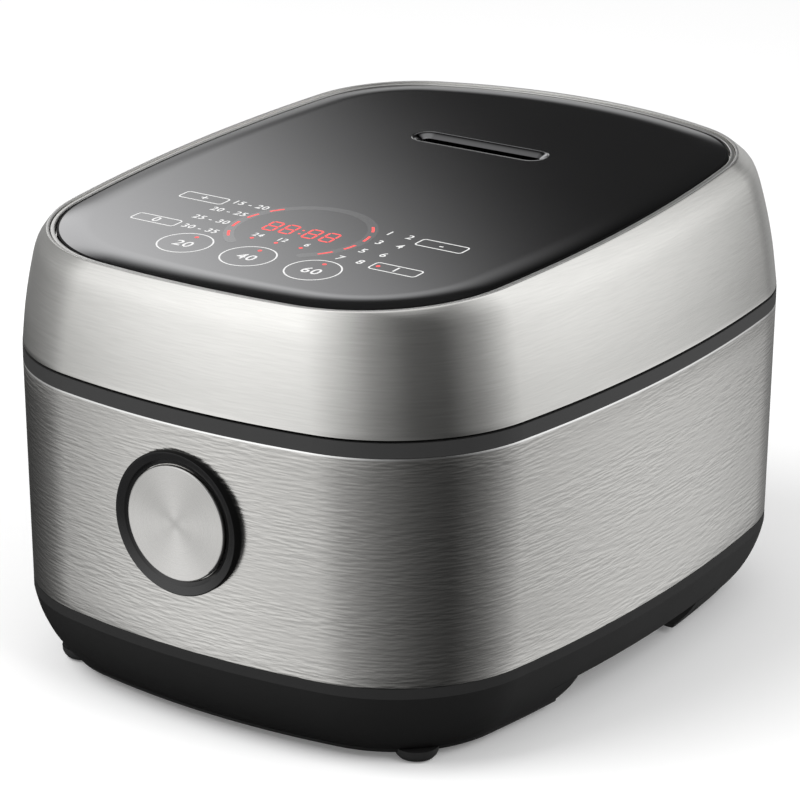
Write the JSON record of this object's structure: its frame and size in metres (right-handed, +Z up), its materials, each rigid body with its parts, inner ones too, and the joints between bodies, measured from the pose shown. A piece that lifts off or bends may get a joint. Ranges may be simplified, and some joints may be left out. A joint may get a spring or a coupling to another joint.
{
  "type": "rice cooker",
  "caption": "Induction rice cooker: bowed steel body on a tucked-in black base, hinged silver lid with a sloping dark touch panel, and a round opening button on the front.",
  "frame": {"origin": "on the surface that the feet stand on, under the middle of the cooker", "axes": "+X to the right seen from the front, +Y to the back with the button on the -Y side, +Z up"},
  "size_m": [0.27, 0.3471, 0.2192],
  "materials": {
    "black_plastic": "satin moulded black",
    "rubber": "matt",
    "brushed_steel": "horizontal brush, lightly wavy",
    "inner_metal": "satin",
    "heat_plastic": "matt moulded",
    "pot_coating": "dark non-stick inside and out",
    "copper": "varnished wire",
    "ferrite": "matt sintered",
    "spring_steel": "plain bright steel",
    "circuit_board": "solder mask",
    "heat_sink": "extruded",
    "capacitor": "potted box",
    "contact_brass": "plated",
    "gloss_black": "polished black",
    "lid_silver": "very fine horizontal brush",
    "dark_panel": "polished dark panel with printed marks",
    "trim_chrome": "bright ring",
    "silicone": "translucent white silicone",
    "display": "red numeric display",
    "spun_silver": "spun in fine circles",
    "fan_plastic": "moulded"
  },
  "bodies": {
    "housing": {"base_housing": "black_plastic", "rubber_feet": "rubber", "steel_wrap": "brushed_steel", "upper_collar": "black_plastic", "inner_housing": "inner_metal", "coil_bowl": "heat_plastic", "inner_pot": "pot_coating", "induction_coil": "copper", "ferrite_bars": "ferrite", "coil_support": "heat_plastic", "sensor_holder": "heat_plastic", "sensor_spring": "spring_steel", "power_board": "circuit_board", "heat_sink": "heat_sink", "resonance_capacitor": "capacitor", "fan_frame": "black_plastic", "power_inlet": "black_plastic", "inlet_pins": "contact_brass", "button_bezel": "gloss_black", "button_spring": "spring_steel", "latch_pin": "spring_steel", "hinge_bracket": "black_plastic", "hinge_pin": "spring_steel", "hinge_spring": "spring_steel"},
    "lid": {"lid_shell": "lid_silver", "top_panel": "dark_panel", "panel_trim": "trim_chrome", "vent_insert": "gloss_black", "steam_box": "heat_plastic", "steam_seal": "silicone", "control_board": "circuit_board", "display_module": "display", "touch_contacts": "contact_brass", "lid_frame": "black_plastic", "inner_lid": "inner_metal", "seal_ring": "silicone", "lid_sensor": "inner_metal", "lid_catch": "spring_steel"},
    "button": {"button_cap": "spun_silver"},
    "latch": {"latch_lever": "heat_plastic"},
    "fan": {"fan_rotor": "fan_plastic"},
    "sensor": {"sensor_cap": "inner_metal"}
  },
  "joints": [
    {"name": "lid_hinge", "type": "hinge", "parent": "housing", "child": "lid", "pos_m": [0, 0.166, 0.159], "axis": [-1, 0, 0], "range_deg": [0, 85]},
    {"name": "button_push", "type": "slide", "parent": "housing", "child": "button", "axis": [0, 1, 0], "range_m": [0, 0.003], "stiffness_N_per_m": 400, "deforming": ["button_spring"]},
    {"name": "latch_turn", "type": "hinge", "parent": "housing", "child": "latch", "pos_m": [0, -0.1565, 0.124], "axis": [1, 0, 0], "range_deg": [0, 9.3]},
    {"name": "fan_spin", "type": "hinge", "parent": "housing", "child": "fan", "pos_m": [-0.073, 0.099, 0.018], "axis": [0, 0, 1], "continuous": true},
    {"name": "sensor_plunge", "type": "slide", "parent": "housing", "child": "sensor", "axis": [0, 0, 1], "range_m": [-0.002, 0], "stiffness_N_per_m": 250, "springref_m": 0.003, "deforming": ["sensor_spring"]}
  ],
  "couplings": [
    {"joint": "latch_turn", "follows": "button_push", "rad_per_m": 52.632}
  ]
}
